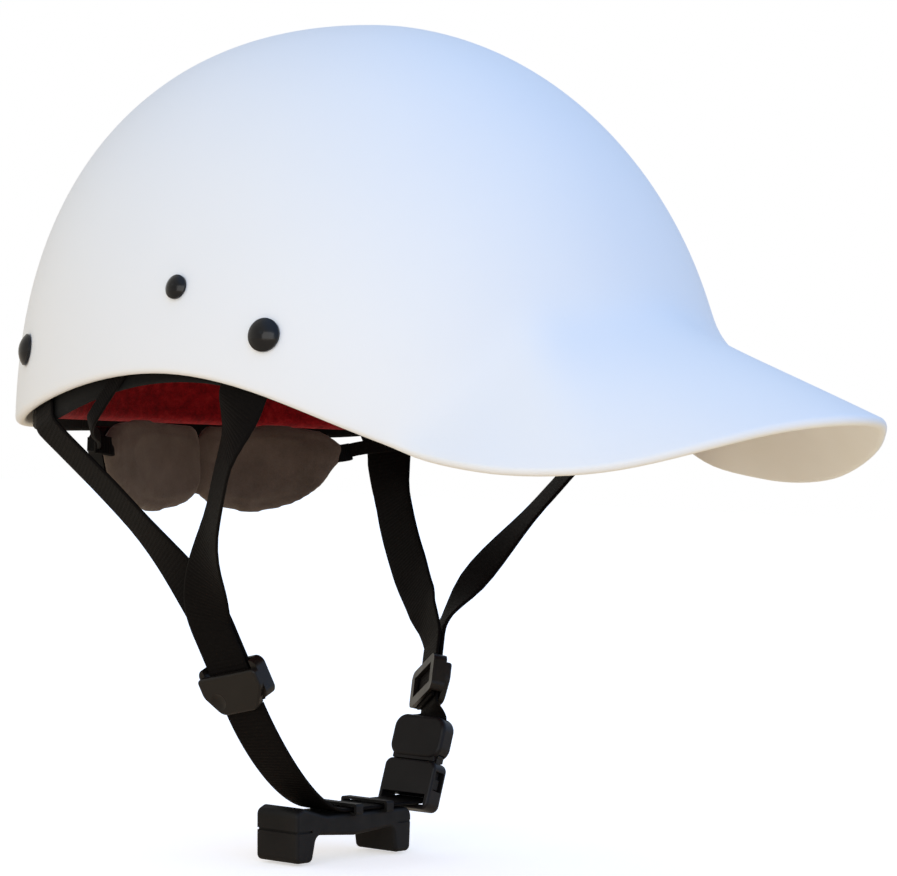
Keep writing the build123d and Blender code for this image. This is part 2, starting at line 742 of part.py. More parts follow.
def prong(side):
    arm_part = bx(-1.1, 1.1, -1.5, 1.5, -INSERT_L + 0.4, 3.4)
    root = Pos(0, 0, 2.4) * Rot(90, 0, 0) * Cylinder(1.4, 3.0)
    catch = bx(0.5, 1.9, -1.5, 1.5, -10.2, -6.4)
    body = arm_part + root + catch
    if side < 0:
        body = body.mirror(Plane.YZ)
    return Pos(side * PRONG_X, 0, 0) * body


front_side = 1 if BUCKLE.x_dir.X > 0 else -1
save(BUCKLE.location * prong(front_side), "buckle_prong_front")
save(BUCKLE.location * prong(-front_side), "buckle_prong_rear")

# Socket: open at its top for the tongue, windows in its sides, strap slot at its foot.
socket = bx(-HB, HB, -HT, HT, -SOCKET_L, 0)
socket = fillet(socket.edges().filter_by(Axis.Y), 3.0)
socket = fillet(socket.faces().sort_by(Axis.Y)[-1].edges(), 1.2)
socket = fillet(socket.faces().sort_by(Axis.Y)[0].edges(), 1.2)
socket = socket - bx(-HB + 1.4, HB - 1.4, -2.6, 2.6, -12.0, 1)
socket = socket - bx(-HB - 1, HB + 1, -2.6, 2.6, -10.9, -3.4)
socket = socket - bx(-WEB_W / 2 - 0.8, WEB_W / 2 + 0.8, -HT - 1, HT + 1, -17.0, -12.9)
save(BUCKLE.location * socket, "buckle_socket")


# ================================================================ chin cup
def chin_cup():
    """Arched saddle: a bridge under the level strap and a thick foot at each end."""
    x0 = CUP_X - CUP_DEPTH / 2
    top = STRAP_Z - WEB_T / 2 - 0.5
    inner = CUP_HALF - CUP_FOOT
    outline = make_face(Polyline((-CUP_HALF, CUP_LOW_Z), (-CUP_HALF - 1.0, top + 1.6),
                                 (-CUP_HALF + 3.0, top + 3.4), (-17.0, top), (CUP_HALF, top),
                                 (CUP_HALF, CUP_LOW_Z), (inner, CUP_LOW_Z), (inner - 2.0, top - 7.0),
                                 (0, top - 8.5), (-inner + 2.0, top - 7.0), (-inner, CUP_LOW_Z),
                                 close=True))
    outline = fillet(outline.vertices().filter_by_position(Axis.Y, CUP_LOW_Z - 1, CUP_LOW_Z + 1), 2.2)
    outline = fillet(outline.vertices().filter_by_position(Axis.Y, top - 7.5, top - 6.5), 3.0)
    outline = fillet(outline.vertices().filter_by_position(Axis.Y, top + 1.0, top + 4.0), 2.6)
    corner = outline.vertices().filter_by_position(Axis.Y, top - 0.1, top + 0.1).sort_by(Axis.X)[-1]
    outline = fillet(corner, 4.0)
    body = extrude(outline, amount=CUP_DEPTH)
    ends = body.faces().filter_by(Axis.Z)
    body = fillet(ends.edges(), 1.5)
    place = Plane(origin=(x0, 0, 0), x_dir=(0, 1, 0), z_dir=(1, 0, 0))
    body = place.location * body
    # A moulded line round the outside of each foot.
    for side in (-1, 1):
        y0, y1 = sorted((side * (inner + 1.0), side * (CUP_HALF + 4.0)))
        line = Pos(CUP_X, (y0 + y1) / 2, top - 5.4) * Box(CUP_DEPTH + 4, y1 - y0, 0.9)
        y0, y1 = sorted((side * inner, side * (CUP_HALF - 0.4)))
        core = Pos(CUP_X, (y0 + y1) / 2, top - 5.4) * Box(CUP_DEPTH - 1.3, y1 - y0, 2.0)
        body = body - (line - core)
    for y in (-1.0, 17.0):
        loop = Pos(CUP_X + 1.0, y, STRAP_Z) * Box(WEB_W + 3.4, 4.0, WEB_T + 2.8)
        loop = fillet(loop.edges().filter_by(Axis.Y), 1.0)
        hole = Pos(CUP_X + 1.0, y, STRAP_Z) * Box(WEB_W + 1.0, 6.0, WEB_T + 0.9)
        body = body + (loop - hole)
    return body


save(chin_cup(), "chin_cup")
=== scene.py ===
import math
import bmesh
import bpy
import numpy as np
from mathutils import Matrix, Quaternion, Vector


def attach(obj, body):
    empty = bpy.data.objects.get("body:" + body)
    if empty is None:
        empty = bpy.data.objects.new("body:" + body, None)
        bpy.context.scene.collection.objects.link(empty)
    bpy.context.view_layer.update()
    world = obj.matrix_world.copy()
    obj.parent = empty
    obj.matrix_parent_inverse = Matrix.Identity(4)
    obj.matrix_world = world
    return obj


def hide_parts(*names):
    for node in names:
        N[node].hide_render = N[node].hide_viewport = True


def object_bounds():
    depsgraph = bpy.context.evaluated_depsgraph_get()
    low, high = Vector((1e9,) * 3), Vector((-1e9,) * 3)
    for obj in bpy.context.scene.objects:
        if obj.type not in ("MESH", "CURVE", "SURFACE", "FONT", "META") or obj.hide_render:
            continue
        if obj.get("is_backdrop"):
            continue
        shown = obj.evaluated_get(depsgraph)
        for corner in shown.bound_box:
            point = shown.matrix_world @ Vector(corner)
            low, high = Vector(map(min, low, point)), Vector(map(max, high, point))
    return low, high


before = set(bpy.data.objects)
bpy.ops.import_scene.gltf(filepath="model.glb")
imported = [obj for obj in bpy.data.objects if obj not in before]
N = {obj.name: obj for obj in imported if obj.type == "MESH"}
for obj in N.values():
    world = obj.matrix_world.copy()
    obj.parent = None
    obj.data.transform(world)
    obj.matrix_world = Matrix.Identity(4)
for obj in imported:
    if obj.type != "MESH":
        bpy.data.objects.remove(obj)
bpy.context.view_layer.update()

MM = 0.001

# ---------------------------------------------------------------- dimensions, in millimetres
FRONT_REACH, REAR_REACH, HALF_WIDTH, PLAN_POWER = 133.0, 140.0, 116.0, 2.16
WIDEST_Z, CROWN_Z, SIDE_POWER, SIDE_POWER_FORE = 2.0, 152.0, 2.12, -0.23
SHELL_T, ROOT_BLEND = 4.0, 3.5
EDGE_Z = ((0, 13.0), (12, 7.0), (24, -6.0), (36, -9.0), (50, -1.5), (70, 13.0),
          (90, 19.5), (110, 15.5), (145, 1.0), (180, 0.0))
BILL_OUT = ((0, 78.5), (12, 65.0), (24, 43.5), (36, 21.0), (50, 0.0), (180, 0.0))
BILL_RUN = ((0, 2.5), (30, 0.75), (60, 1.0), (90, 1.0), (180, 1.0))
BAND_DROP = ((52, 0.5), (75, 1.0), (97, 3.3), (125, 6.0), (150, 1.5), (180, 1.0))
FOAM_OUT, FOAM_IN, FOAM_TOP_Z, CROWN_PAD_Z = 8.6, 16.5, 92.0, 98.0
BAND_OUT, BAND_IN, BAND_RISE = 6.6, 8.2, 11.0
SWEAT_OUT, SWEAT_IN = 16.9, 19.4
FRONT_RIVET, REAR_RIVET, PAD_RIVET = (69.5, 33.0), (134.0, 27.5), (89.0, 49.0)
WEB_W, WEB_T, PAD_WEB_W, PAD_WEB_T, WEB_LAY = 19.0, 1.4, 5.5, 1.2, 5.4
LAYER = 0.85
NAPE_HALF, NAPE_X, NAPE_BOW, NAPE_T = 67.0, -87.0, 18.0, 8.0
GUIDE_X, GUIDE_Y, LEFT_GUIDE_Z, RIGHT_GUIDE_Z, LEFT_GUIDE_TWIST = -13.0, 56.3, -94.0, -89.7, -36.0
SWING_ALONG, TURN_END = 8.5, 0.9
NAPE_TOP = ((0, 2.0), (40, 3.5), (58, 1.5), (67, -3.0))
NAPE_LOW = ((0, -26.0), (12, -28.5), (28, -30.5), (45, -27.5), (58, -20.0), (67, -9.0))


# ---------------------------------------------------------------- curves
def soft_slopes(table):
    """Slopes that keep a curve from overshooting its stations."""
    n = len(table)
    h = [table[i + 1][0] - table[i][0] for i in range(n - 1)]
    d = [(table[i + 1][1] - table[i][1]) / h[i] for i in range(n - 1)]
    m = [0.0] * n
    for i in range(1, n - 1):
        if d[i - 1] * d[i] > 0:
            w1, w2 = 2 * h[i] + h[i - 1], h[i] + 2 * h[i - 1]
            m[i] = (w1 + w2) / (w1 / d[i - 1] + w2 / d[i])
    return m


def even_slopes(table):
    """Slopes of the natural cubic through the stations."""
    n = len(table)
    a = np.zeros((n, n))
    r = np.zeros(n)
    a[0, 0] = a[n - 1, n - 1] = 1.0
    for i in range(1, n - 1):
        h0, h1 = table[i][0] - table[i - 1][0], table[i + 1][0] - table[i][0]
        d0, d1 = (table[i][1] - table[i - 1][1]) / h0, (table[i + 1][1] - table[i][1]) / h1
        a[i, i - 1], a[i, i], a[i, i + 1] = 1 / h0, 2 * (1 / h0 + 1 / h1), 1 / h1
        r[i] = 3 * (d0 / h0 + d1 / h1)
    return list(np.linalg.solve(a, r))


def curve(table, m):
    """Piecewise cubic through the stations with slopes m."""
    k = np.array([p[0] for p in table], float)
    v = np.array([p[1] for p in table], float)
    m = np.array(m, float)

    def f(x):
        x = np.clip(np.asarray(x, float), k[0], k[-1])
        i = np.clip(np.searchsorted(k, x, side="right") - 1, 0, len(k) - 2)
        h = k[i + 1] - k[i]
        t = (x - k[i]) / h
        a = (1 + 2 * t) * (1 - t) ** 2 * v[i] + t * (1 - t) ** 2 * h * m[i]
        return a + t * t * (3 - 2 * t) * v[i + 1] + t * t * (t - 1) * h * m[i + 1]
    return f


edge_c = curve(EDGE_Z, even_slopes(EDGE_Z))
bill_c = curve(BILL_OUT, soft_slopes(BILL_OUT))
run_c = curve(BILL_RUN, soft_slopes(BILL_RUN))
drop_c = curve(BAND_DROP, soft_slopes(BAND_DROP))
top_c = curve(NAPE_TOP, soft_slopes(NAPE_TOP))
low_c = curve(NAPE_LOW, soft_slopes(NAPE_LOW))


def fold(deg):
    """Plan angle from straight ahead, 0 to 180, whichever side."""
    return np.abs((np.asarray(deg, float) + 180.0) % 360.0 - 180.0)


def edge_z(deg):
    """Height of the shell's lower edge."""
    return edge_c(fold(deg))


def station(deg, z):
    """Place on the upright section, 0 at the crown and 1 at the widest line, of a height."""
    q = SIDE_POWER + SIDE_POWER_FORE * np.cos(np.radians(deg))
    t = (np.asarray(z, float) - WIDEST_Z) / (CROWN_Z - WIDEST_Z)
    tc = np.clip(t, 1e-6, 1 - 1e-9)
    k = (tc ** (-q) - 1) ** (1 / q)
    return np.where(t <= 0, 1 - t, k / (1 + k))


def outside(deg, s, bill=True):
    """Points of the shell's outside, in millimetres."""
    deg, s = np.broadcast_arrays(np.asarray(deg, float), np.asarray(s, float))
    c, n = np.cos(np.radians(deg)), np.sin(np.radians(deg))
    q = SIDE_POWER + SIDE_POWER_FORE * c
    a = (FRONT_REACH + REAR_REACH) / 2 + (FRONT_REACH - REAR_REACH) / 2 * c
    plan = ((np.abs(c) / a) ** PLAN_POWER + (np.abs(n) / HALF_WIDTH) ** PLAN_POWER) ** (-1 / PLAN_POWER)
    u = np.clip(s, 0, 1)
    den = ((1 - u) ** q + u ** q) ** (1 / q)
    z = WIDEST_Z + (CROWN_Z - WIDEST_Z) * np.where(s >= 1, 1 - s, (1 - u) / den)
    r = plan * np.where(s >= 1, 1.0, u / den)
    if bill:
        f = fold(deg)
        out, low = bill_c(f), edge_c(f)
        root = low + out / run_c(f)
        r = r + out * np.logaddexp(0, (root - z) / ROOT_BLEND) / np.logaddexp(0, (root - low) / ROOT_BLEND)
    return np.stack([r * c, r * n, z], -1)


def normal(deg, s, bill=True):
    """Outward normal of the shell's outside."""
    deg, s = np.broadcast_arrays(np.asarray(deg, float), np.asarray(s, float))
    s = np.maximum(s, 2e-3)
    da = outside(deg + 0.05, s, bill) - outside(deg - 0.05, s, bill)
    ds = outside(deg, s + 1e-3, bill) - outside(deg, s - 1e-3, bill)
    n = np.cross(ds, da)
    n /= np.linalg.norm(n, axis=-1, keepdims=True)
    ref = outside(deg, s, False) - np.array([0, 0, -60.0])
    return np.where((n * ref).sum(-1, keepdims=True) < 0, -n, n)


def skin(deg, s, depth, bill=True):
    """Points a depth inward from the shell's outside."""
    deg, s = np.broadcast_arrays(np.asarray(deg, float), np.asarray(s, float))
    depth = np.asarray(depth, float)
    n = normal(deg, s, bill)
    n = np.where((s < 2e-3)[..., None], np.array([0, 0, 1.0]), n)
    return outside(deg, s, bill) - n * depth[..., None]


# ---------------------------------------------------------------- meshes
def make(name, verts, faces, mat, uv=None, body="helmet", instead=()):
    """One visible piece, given in millimetres, its body and the nodes it replaces."""
    me = bpy.data.meshes.new(name)
    me.from_pydata([tuple(v) for v in np.asarray(verts) * MM], [], faces)
    me.validate()
    me.polygons.foreach_set("use_smooth", [True] * len(me.polygons))
    if uv is not None:
        layer = me.uv_layers.new(name="UVMap")
        idx = np.zeros(len(me.loops), dtype=np.int32)
        me.loops.foreach_get("vertex_index", idx)
        layer.data.foreach_set("uv", np.asarray(uv, float)[idx].ravel())
    me.update()
    ob = bpy.data.objects.new(name, me)
    bpy.context.scene.collection.objects.link(ob)
    me.materials.append(mat)
    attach(ob, body)
    if instead:
        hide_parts(*instead)
    return ob


def grid_faces(nu, nv, wrap_u=False, wrap_v=False, flip=False, base=0):
    """Four-sided faces of a grid of nu by nv points."""
    faces = []
    for i in range(nu if wrap_u else nu - 1):
        for j in range(nv if wrap_v else nv - 1):
            a, b = base + i * nv + j, base + ((i + 1) % nu) * nv + j
            c, d = base + ((i + 1) % nu) * nv + (j + 1) % nv, base + i * nv + (j + 1) % nv
            faces.append((a, d, c, b) if flip else (a, b, c, d))
    return faces


def closed_sheet(nu, nv):
    """Faces of a sheet with a front grid, a back grid after it, and a rim between them."""
    m = nu * nv
    faces = grid_faces(nu, nv) + grid_faces(nu, nv, flip=True, base=m)
    ring = [i * nv for i in range(nu)] + [(nu - 1) * nv + j for j in range(1, nv)] + \
           [i * nv + nv - 1 for i in range(nu - 2, -1, -1)] + [j for j in range(nv - 2, 0, -1)]
    for i in range(len(ring)):
        a, b = ring[i], ring[(i + 1) % len(ring)]
        faces.append((a, b, b + m, a + m))
    return faces


def fix_normals(ob):
    """Turn every face outward."""
    bm = bmesh.new()
    bm.from_mesh(ob.data)
    bmesh.ops.recalc_face_normals(bm, faces=bm.faces)
    bm.to_mesh(ob.data)
    bm.free()


# ---------------------------------------------------------------- material kit
def nodes_of(name):
    """New material with its node tree and surface node."""
    m = bpy.data.materials.new(name)
    m.use_nodes = True
    nt = m.node_tree
    bsdf = nt.nodes["Principled BSDF"]
    return m, nt, bsdf


def coords(nt, kind="Object"):
    """Texture place: the piece's own metres, or its UV map."""
    tc = nt.nodes.new("ShaderNodeTexCoord")
    mp = nt.nodes.new("ShaderNodeMapping")
    nt.links.new(tc.outputs[kind], mp.inputs["Vector"])
    return mp.outputs["Vector"]


def noise(nt, vec, scale, detail, rough=0.5):
    """Cloudy value from 0 to 1."""
    n = nt.nodes.new("ShaderNodeTexNoise")
    n.inputs["Scale"].default_value = scale
    n.inputs["Detail"].default_value = detail
    n.inputs["Roughness"].default_value = rough
    nt.links.new(vec, n.inputs["Vector"])
    return n.outputs["Fac"]


def ramp(nt, fac, stops):
    """Colours, or grey values, along a value."""
    r = nt.nodes.new("ShaderNodeValToRGB")
    els = r.color_ramp.elements
    while len(els) < len(stops):
        els.new(0.5)
    for e, (p, c) in zip(els, stops):
        e.position = p
        e.color = (c[0], c[1], c[2], 1) if len(c) > 1 else (c[0], c[0], c[0], 1)
    nt.links.new(fac, r.inputs["Fac"])
    return r.outputs["Color"]


def bump(nt, height, strength, distance, after=None):
    """Small relief, on top of another one where given."""
    b = nt.nodes.new("ShaderNodeBump")
    b.inputs["Strength"].default_value = strength
    b.inputs["Distance"].default_value = distance
    nt.links.new(height, b.inputs["Height"])
    if after is not None:
        nt.links.new(after, b.inputs["Normal"])
    return b.outputs["Normal"]


def math_node(nt, op, a, b):
    """Sum or product of two values or sockets."""
    m = nt.nodes.new("ShaderNodeMath")
    m.operation = op
    for k, v in enumerate((a, b)):
        if isinstance(v, (int, float)):
            m.inputs[k].default_value = v
        else:
            nt.links.new(v, m.inputs[k])
    return m.outputs[0]


def mix(nt, fac, a, b):
    """Blend of two colours or sockets."""
    m = nt.nodes.new("ShaderNodeMix")
    m.data_type = "RGBA"
    for key, v in ((0, fac), (6, a), (7, b)):
        if isinstance(v, (int, float)):
            m.inputs[key].default_value = v
        elif isinstance(v, tuple):
            m.inputs[key].default_value = (v[0], v[1], v[2], 1)
        else:
            nt.links.new(v, m.inputs[key])
    return m.outputs[2]


def wave(nt, vec, scale, direction):
    """Plain sine bands across one axis."""
    w = nt.nodes.new("ShaderNodeTexWave")
    w.wave_type = "BANDS"
    w.bands_direction = direction
    w.inputs["Scale"].default_value = scale
    w.inputs["Distortion"].default_value = 0.0
    nt.links.new(vec, w.inputs["Vector"])
    return w.outputs["Fac"]


def plastic(name, dark, light, rough, grain=900.0, bump_mm=0.02, coat=0.0, spec=0.5):
    """Moulded plastic: mottled colour, uneven gloss and a fine spark-eroded grain."""
    m, nt, b = nodes_of(name)
    v = coords(nt)
    big = noise(nt, v, 35.0, 3)
    nt.links.new(ramp(nt, big, ((0.3, dark), (0.7, light))), b.inputs["Base Color"])
    fine = noise(nt, v, grain, 3)
    gloss = ramp(nt, noise(nt, v, 120.0, 4), ((0.3, (rough - 0.06,)), (0.7, (rough + 0.08,))))
    nt.links.new(gloss, b.inputs["Roughness"])
    nt.links.new(bump(nt, fine, 0.5, bump_mm * MM), b.inputs["Normal"])
    b.inputs["Coat Weight"].default_value = coat
    b.inputs["Coat Roughness"].default_value = 0.2
    b.inputs["Specular IOR Level"].default_value = spec
    return m


def shell_material():
    """White moulded shell: cream inside, slight orange peel outside."""
    m, nt, b = nodes_of("shell_white_mat")
    v = coords(nt)
    tone = noise(nt, v, 9.0, 2)
    body = ramp(nt, tone, ((0.25, (0.84, 0.855, 0.875)), (0.75, (0.87, 0.88, 0.89))))
    inside = ramp(nt, noise(nt, v, 45.0, 4), ((0.25, (0.89, 0.86, 0.77)), (0.75, (0.92, 0.895, 0.82))))
    uvn = nt.nodes.new("ShaderNodeSeparateXYZ")
    nt.links.new(nt.nodes.new("ShaderNodeTexCoord").outputs["UV"], uvn.inputs[0])
    part = ramp(nt, uvn.outputs["Y"], ((0.640, (0.0,)), (0.662, (1.0,))))
    nt.links.new(mix(nt, part, body, inside), b.inputs["Base Color"])
    nt.links.new(ramp(nt, noise(nt, v, 60.0, 5), ((0.3, (0.46,)), (0.75, (0.56,)))), b.inputs["Roughness"])
    peel = bump(nt, noise(nt, v, 220.0, 2), 0.35, 0.03 * MM)
    nt.links.new(bump(nt, noise(nt, v, 1500.0, 2), 0.2, 0.006 * MM, peel), b.inputs["Normal"])
    b.inputs["Specular IOR Level"].default_value = 0.4
    return m


def foam_material():
    """Red closed-cell foam with fine pores."""
    m, nt, b = nodes_of("foam_red_mat")
    v = coords(nt)
    cell = nt.nodes.new("ShaderNodeTexVoronoi")
    cell.inputs["Scale"].default_value = 950.0
    nt.links.new(v, cell.inputs["Vector"])
    mott = noise(nt, v, 260.0, 6, 0.7)
    col = ramp(nt, mott, ((0.28, (0.12, 0.002, 0.005)), (0.55, (0.32, 0.007, 0.012)),
                          (0.8, (0.46, 0.03, 0.03))))
    nt.links.new(col, b.inputs["Base Color"])
    b.inputs["Roughness"].default_value = 0.85
    b.inputs["Sheen Weight"].default_value = 0.05
    b.inputs["Specular IOR Level"].default_value = 0.12
    pores = bump(nt, cell.outputs["Distance"], 0.8, 0.25 * MM)
    nt.links.new(bump(nt, mott, 0.6, 0.5 * MM, pores), b.inputs["Normal"])
    return m


def cloth_material(name, dark, light, pitch=0.45, sheen=0.4, rough=0.85, by_uv=False, bump_mm=0.12, spec=0.3):
    """Woven or knitted cover: crossing yarns, slubs and a soft sheen."""
    m, nt, b = nodes_of(name)
    v = coords(nt, kind="UV") if by_uv else coords(nt)
    bands = (0.5 if by_uv else 500.0) / pitch       # the UV map is in millimetres, the rest in metres
    warp = wave(nt, v, bands, "X")
    weft = wave(nt, v, bands, "Y" if by_uv else "Z")
    weave = math_node(nt, "MULTIPLY", warp, weft)
    slub = noise(nt, v, 0.6 if by_uv else 500.0, 5, 0.6)
    both = math_node(nt, "ADD", math_node(nt, "MULTIPLY", weave, 0.6), math_node(nt, "MULTIPLY", slub, 0.6))
    nt.links.new(ramp(nt, both, ((0.25, dark), (0.85, light))), b.inputs["Base Color"])
    b.inputs["Roughness"].default_value = rough
    b.inputs["Sheen Weight"].default_value = sheen
    b.inputs["Sheen Roughness"].default_value = 0.5
    b.inputs["Specular IOR Level"].default_value = spec
    nt.links.new(bump(nt, both, 0.7, bump_mm * MM), b.inputs["Normal"])
    return m


def fleece_material(name, dark, light):
    """Brushed lining: fine short pile with soft patches where it has been stroked."""
    m, nt, b = nodes_of(name)
    v = coords(nt)
    pile = noise(nt, v, 2600.0, 3, 0.7)
    patch = noise(nt, v, 70.0, 4, 0.6)
    tone = math_node(nt, "ADD", math_node(nt, "MULTIPLY", pile, 0.45), math_node(nt, "MULTIPLY", patch, 0.55))
    nt.links.new(ramp(nt, tone, ((0.32, dark), (0.68, light))), b.inputs["Base Color"])
    b.inputs["Roughness"].default_value = 0.95
    b.inputs["Sheen Weight"].default_value = 0.3
    b.inputs["Sheen Roughness"].default_value = 0.45
    b.inputs["Sheen Tint"].default_value = (0.8, 0.7, 0.62, 1)
    b.inputs["Specular IOR Level"].default_value = 0.2
    nt.links.new(bump(nt, pile, 0.55, 0.25 * MM), b.inputs["Normal"])
    return m


def metal_paint(name):
    """Black enamel on the rivet heads."""
    m, nt, b = nodes_of(name)
    v = coords(nt)
    col = ramp(nt, noise(nt, v, 180.0, 4), ((0.3, (0.003, 0.003, 0.004)), (0.8, (0.007, 0.007, 0.008))))
    nt.links.new(col, b.inputs["Base Color"])
    nt.links.new(ramp(nt, noise(nt, v, 420.0, 5), ((0.35, (0.16,)), (0.8, (0.30,)))), b.inputs["Roughness"])
    nt.links.new(bump(nt, noise(nt, v, 700.0, 3), 0.25, 0.03 * MM), b.inputs["Normal"])
    b.inputs["Coat Weight"].default_value = 0.22
    b.inputs["Specular IOR Level"].default_value = 0.2
    b.inputs["Coat Roughness"].default_value = 0.12
    return m


def steel(name):
    """Plain washer steel."""
    m, nt, b = nodes_of(name)
    v = coords(nt)
    b.inputs["Metallic"].default_value = 1.0
    col = ramp(nt, noise(nt, v, 300.0, 4), ((0.3, (0.42, 0.42, 0.43)), (0.8, (0.6, 0.6, 0.6))))
    nt.links.new(col, b.inputs["Base Color"])
    nt.links.new(ramp(nt, noise(nt, v, 500.0, 4), ((0.3, (0.28,)), (0.8, (0.42,)))), b.inputs["Roughness"])
    return m


MAT = {
    "shell": shell_material(),
    "foam": foam_material(),
    "web": cloth_material("webbing_mat", (0.0015, 0.0011, 0.0011), (0.0055, 0.0044, 0.0042), pitch=0.42,
                          sheen=0.0, rough=0.62, by_uv=True, bump_mm=0.10, spec=0.06),
    "band": cloth_material("band_black_mat", (0.002, 0.002, 0.002), (0.008, 0.008, 0.008), pitch=0.5,
                           sheen=0.05, rough=0.8, spec=0.1),
    "nape": fleece_material("nape_fabric_mat", (0.062, 0.045, 0.036), (0.135, 0.103, 0.085)),
    "hook": cloth_material("hook_fabric_mat", (0.01, 0.01, 0.01), (0.04, 0.04, 0.04), pitch=0.8,
                           sheen=0.3, rough=0.9),
    "guide": plastic("guide_plastic_mat", (0.007, 0.0055, 0.0045), (0.013, 0.0105, 0.0085), 0.34, spec=0.22),
    "buckle": plastic("buckle_plastic_mat", (0.005, 0.0045, 0.005), (0.010, 0.009, 0.010), 0.40, spec=0.2),
    "cup": plastic("cup_rubber_mat", (0.004, 0.0036, 0.0034), (0.010, 0.009, 0.0085), 0.55,
                   grain=1400.0, bump_mm=0.05, spec=0.2),
    "backing": plastic("backing_mat", (0.004, 0.004, 0.004), (0.010, 0.010, 0.010), 0.6, spec=0.15),
    "rivet": metal_paint("rivet_black_mat"),
    "steel": steel("washer_steel_mat"),
}


def paint(node, mat):
    """Give a CAD node its material."""
    ob = N[node]
    ob.data.materials.clear()
    ob.data.materials.append(mat)


# ---------------------------------------------------------------- shell
def build_shell():
    """Shell with its bill, a rounded lip round the edge and an inner face."""
    front = list(np.arange(-60, 60, 1.5))
    rear = list(np.arange(60, 300, 3.0))
    ang = np.array(front + rear)
    s_low = station(ang, edge_z(ang))
    fine = np.linspace(0, 1, 400)
    S = s_low[:, None] * fine[None]
    P = outside(ang[:, None], S)
    L = np.concatenate([np.zeros((len(ang), 1)), np.cumsum(np.linalg.norm(np.diff(P, axis=1), axis=2), 1)], 1)
    rows, inner_rows, lip = 72, 44, 9
    half = SHELL_T / 2
    verts = []
    for i in range(len(ang)):
        end = L[i, -1] - half
        want = np.linspace(0, 1, rows + 1)[1:] * end
        so = np.interp(want, L[i], S[i])
        outer = outside(ang[i], so)
        inner = skin(ang[i], so, SHELL_T)
        pick = np.round(np.linspace(rows - 1, 0, inner_rows)).astype(int)
        o, n = outer[-1], inner[-1]
        mid = (o + n) / 2
        down = outer[-1] - outer[-3]
        across = (o - n) / np.linalg.norm(o - n)
        down = down - across * down.dot(across)
        down /= np.linalg.norm(down)
        th = np.linspace(0, math.pi, lip + 2)[1:-1]
        lipp = mid + np.cos(th)[:, None] * (o - mid) + np.sin(th)[:, None] * down * half
        verts.append(np.concatenate([outer, lipp, inner[pick]]))
    verts = np.array(verts)
    nv = verts.shape[1]
    flat = verts.reshape(-1, 3)
    faces = grid_faces(len(ang), nv, wrap_u=True, flip=True)
    # The second texture coordinate runs 0 to 0.6 outside, to 0.7 round the lip and to 1 inside.
    band = np.concatenate([np.linspace(0, 0.6, rows), np.linspace(0.6, 0.7, lip + 2)[1:-1],
                           np.linspace(0.7, 1.0, inner_rows)])
    uv = np.stack([np.repeat(ang[:, None] / 360.0, nv, 1), np.repeat(band[None], len(ang), 0)], -1)
    uv = uv.reshape(-1, 2)
    uv = np.concatenate([uv, [[0, 0], [0, 1]]])
    base = len(flat)
    flat = np.concatenate([flat, [[0, 0, CROWN_Z], [0, 0, CROWN_Z - SHELL_T]]])
    for i in range(len(ang)):
        j = (i + 1) % len(ang)
        faces.append((base, i * nv, j * nv))
        faces.append((base + 1, j * nv + nv - 1, i * nv + nv - 1))
    ob = make("shell_skin", flat, faces, uv=uv, mat=MAT["shell"], instead=("shell",))
    fix_normals(ob)
    return ob


# ---------------------------------------------------------------- padded liner pieces
def pad_piece(name, node, a0, a1, low, high, out, into, na, ns, mat, slot, edge=4.0, padded=True):
    """Foam pad or band that follows the dome, with rounded edges."""
    u = np.linspace(0, 1, na)
    w = np.linspace(0, 1, ns)
    ang = a0 + (a1 - a0) * u
    lo, hi = low(ang), high(ang)
    s0, s1 = station(ang, hi), station(ang, lo)
    S = s0[:, None] + (s1 - s0)[:, None] * w[None]
    A = np.repeat(ang[:, None], ns, 1)
    P = outside(A, S, False)
    along = P[:, ns // 2]
    du0 = np.cumsum(np.concatenate([[0], np.linalg.norm(np.diff(along, axis=0), axis=1)]))
    du1 = np.cumsum(np.concatenate([[0], np.linalg.norm(np.diff(along[::-1], axis=0), axis=1)]))
    du = np.minimum(du0, du1[::-1])
    dv0 = np.concatenate([np.zeros((na, 1)), np.cumsum(np.linalg.norm(np.diff(P, axis=1), axis=2), 1)], 1)
    dv = np.minimum(dv0, dv0[:, -1:] - dv0)
    d = np.minimum(du[:, None], dv)
    k = np.clip(d / edge, 0, 1)
    swell = np.sqrt(1 - (1 - k) ** 2)
    mid, half = (out + into) / 2, (into - out) / 2
    front = skin(A, S, mid + half * (0.12 + 0.88 * swell), False)
    back = skin(A, S, mid - half * (0.12 + 0.88 * swell), False)
    V = np.concatenate([front.reshape(-1, 3), back.reshape(-1, 3)])
    ob = make(name, V, closed_sheet(na, ns), mat=mat, instead=(node,))
    fix_normals(ob)
    return ob


# ---------------------------------------------------------------- webbing
def V3(*a):
    return np.array(a, float)


def unit(v):
    return v / np.linalg.norm(v)


GUIDE_DOWN = unit(V3(0.21, -0.385, -0.9))
LEFT_REAR_TURNS = ((0.2, V3(0.99, -0.13, 0.1)), (0.45, V3(0.975, -0.21, 0.1)),
                   (0.64, V3(0.935, -0.35, 0.08)), (0.8, V3(0.85, -0.52, 0.08)))
LEFT_FRONT_TURNS = ((0.25, V3(0.78, -0.62, -0.03)), (0.42, V3(0.80, -0.60, -0.03)),
                    (0.68, V3(0.95, -0.30, -0.10)))
RIGHT_REAR_TURNS = ((0.22, V3(0.80, 0.50, 0.33)), (0.5, V3(0.80, 0.50, 0.33)))
RIGHT_FRONT_TURNS = ((0.32, V3(0.80, 0.60, 0.0)), (0.5, V3(0.80, 0.60, 0.0)))
FALL_WAY = unit(V3(0.15, -0.25, -0.95))


